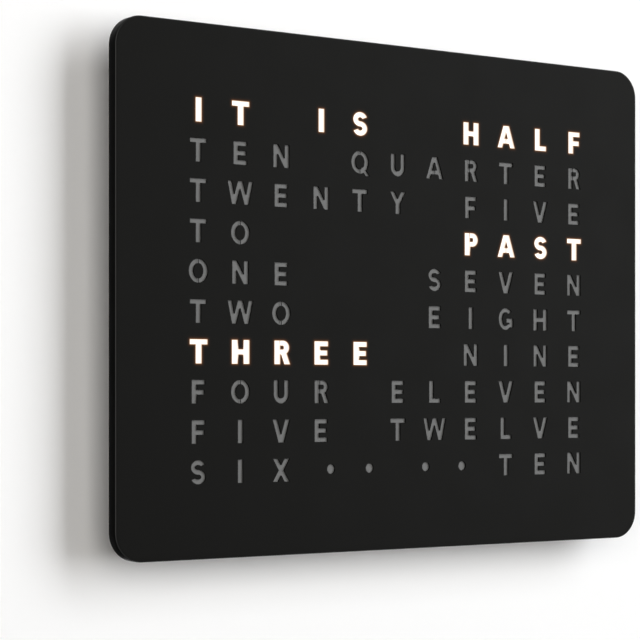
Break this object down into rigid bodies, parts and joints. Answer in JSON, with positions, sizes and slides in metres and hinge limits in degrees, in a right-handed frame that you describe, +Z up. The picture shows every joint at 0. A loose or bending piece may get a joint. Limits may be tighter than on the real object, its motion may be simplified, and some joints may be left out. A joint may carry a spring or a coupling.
{
  "type": "word clock",
  "caption": "Wall-hung clock: a thin dark plate with rounded corners in front of a lit, gridded light field, on a shallow housing with keyholes and set buttons.",
  "frame": {"origin": "midway between the two keyholes, on the rear face of the housing, which is the hanger plates' rear face", "axes": "+X to the right seen from the front and along the plate's width, +Z up, the front faces -Y and the wall is on the +Y side"},
  "size_m": [0.46, 0.0365, 0.36],
  "materials": {
    "plate_paint": "fine matt powder coat, near black",
    "opal_sheet": "satin opal acrylic, lit from behind behind some of the openings",
    "black_moulding": "black moulded plastic with a fine spark texture",
    "carrier_sheet": "pale hard sheet",
    "strip_film": "white flexible circuit film",
    "led_body": "white LED package",
    "circuit_board": "green solder mask",
    "zinc_steel": "bright zinc plate",
    "black_screw": "black passivated steel",
    "chip_black": "black moulded epoxy",
    "can_metal": "drawn metal can",
    "header_nylon": "natural nylon",
    "wire_red": "soft wire insulation",
    "wire_blue": "soft wire insulation",
    "wire_yellow": "soft wire insulation",
    "tinned_wire": "tinned copper wire",
    "contact_brass": "plain brass",
    "pad_rubber": "soft black rubber",
    "button_plastic": "dark grey moulded plastic, satin",
    "plunger_white": "white moulded plastic"
  },
  "bodies": {
    "clock": {"front_plate": "plate_paint", "plate_standoffs": "zinc_steel", "diffuser_sheet": "opal_sheet", "light_grid": "black_moulding", "strip_carrier": "carrier_sheet", "led_strips": "strip_film", "led_packages": "led_body", "minute_strip": "strip_film", "minute_leds": "led_body", "row_links": "tinned_wire", "strip_jumpers": "tinned_wire", "carrier_screws": "zinc_steel", "rear_housing": "black_moulding", "hanger_plates": "zinc_steel", "hanger_rivets": "zinc_steel", "wall_pads": "pad_rubber", "case_screws": "black_screw", "controller_board": "circuit_board", "controller_module": "can_metal", "board_chips": "chip_black", "clock_crystal": "can_metal", "buffer_capacitors": "can_metal", "cell_holder": "chip_black", "backup_cell": "can_metal", "board_headers": "header_nylon", "board_screws": "zinc_steel", "power_inlet": "chip_black", "inlet_pin": "contact_brass", "inlet_nut": "zinc_steel", "power_lead": "wire_red", "strip_lead": "wire_blue", "button_lead": "wire_yellow", "button_board": "circuit_board", "button_switches": "chip_black"},
    "hour_key": {"hour_button": "button_plastic", "hour_plunger": "plunger_white"},
    "minute_key": {"minute_button": "button_plastic", "minute_plunger": "plunger_white"},
    "dimmer_key": {"dimmer_button": "button_plastic", "dimmer_plunger": "plunger_white"}
  },
  "joints": [
    {"name": "hour_press", "type": "slide", "parent": "clock", "child": "hour_key", "axis": [0, 0, 1], "range_m": [0, 0.0005], "stiffness_N_per_m": 1500},
    {"name": "minute_press", "type": "slide", "parent": "clock", "child": "minute_key", "axis": [0, 0, 1], "range_m": [0, 0.0005], "stiffness_N_per_m": 1500},
    {"name": "dimmer_press", "type": "slide", "parent": "clock", "child": "dimmer_key", "axis": [0, 0, 1], "range_m": [0, 0.0005], "stiffness_N_per_m": 1500}
  ]
}
